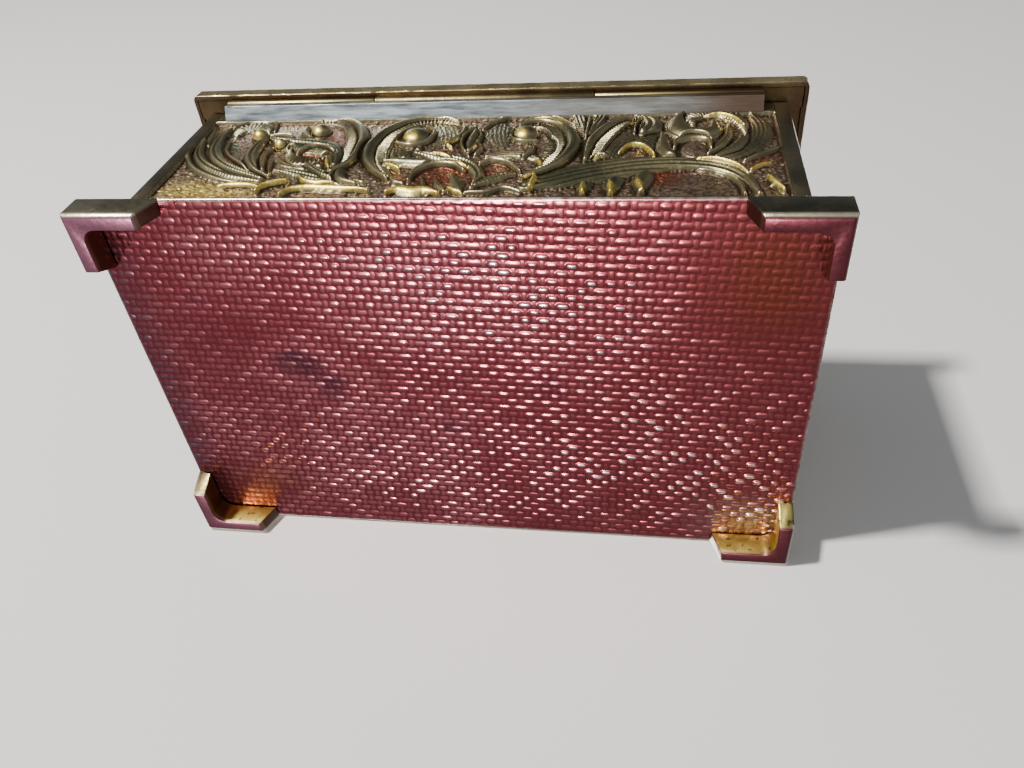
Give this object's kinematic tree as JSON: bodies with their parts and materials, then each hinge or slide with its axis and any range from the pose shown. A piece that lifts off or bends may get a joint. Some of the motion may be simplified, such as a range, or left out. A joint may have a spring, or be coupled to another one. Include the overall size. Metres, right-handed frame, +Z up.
{
  "type": "hinged metal trinket box",
  "caption": "Small rectangular cast-metal box for trinkets, with scroll-relief walls, bracket feet and a lid hinged along the back.",
  "frame": {"origin": "centre of the rectangle that the feet cover, on the ground under them", "axes": "+Z up towards the lid, +X towards the box's right side, and +Y from the front to the hinge side"},
  "size_m": [0.102, 0.0646, 0.0446],
  "materials": {
    "woven_nickel": "nickel-plated casting with a linen texture, worn and tarnished in patches",
    "foot_brass": "darkened brass, bright where it is worn",
    "antique_brass": "antiqued cast brass, dark in the recesses and rubbed bright on the high parts",
    "hinge_steel": "brushed lengthwise, lightly scratched",
    "pin_steel": "drawn wire",
    "hinge_brass": "aged brass",
    "lid_brass": "antiqued cast brass with a fine grain",
    "rim_brass": "plain brass strip, lightly tarnished",
    "velvet": "short-pile velvet"
  },
  "bodies": {
    "box": {"base_plate": "woven_nickel", "foot_front_left": "foot_brass", "foot_front_right": "foot_brass", "foot_back_left": "foot_brass", "foot_back_right": "foot_brass", "front_wall": "antique_brass", "back_wall": "antique_brass", "left_wall": "antique_brass", "right_wall": "antique_brass", "hinge_leaf_body": "hinge_steel", "hinge_pin": "pin_steel", "floor_lining": "velvet", "lining_front": "velvet", "lining_back": "velvet", "lining_left": "velvet", "lining_right": "velvet"},
    "lid": {"lid_plate": "lid_brass", "hinge_leaf_lid": "hinge_brass", "lid_rim_front": "rim_brass", "lid_rim_back": "rim_brass", "lid_rim_left": "rim_brass", "lid_rim_right": "rim_brass", "lid_lining": "velvet"}
  },
  "joints": [
    {"name": "lid_hinge", "type": "hinge", "parent": "box", "child": "lid", "pos_m": [0, 0.03055, 0.04005], "axis": [-1, 0, 0], "range_deg": [0, 100]}
  ]
}
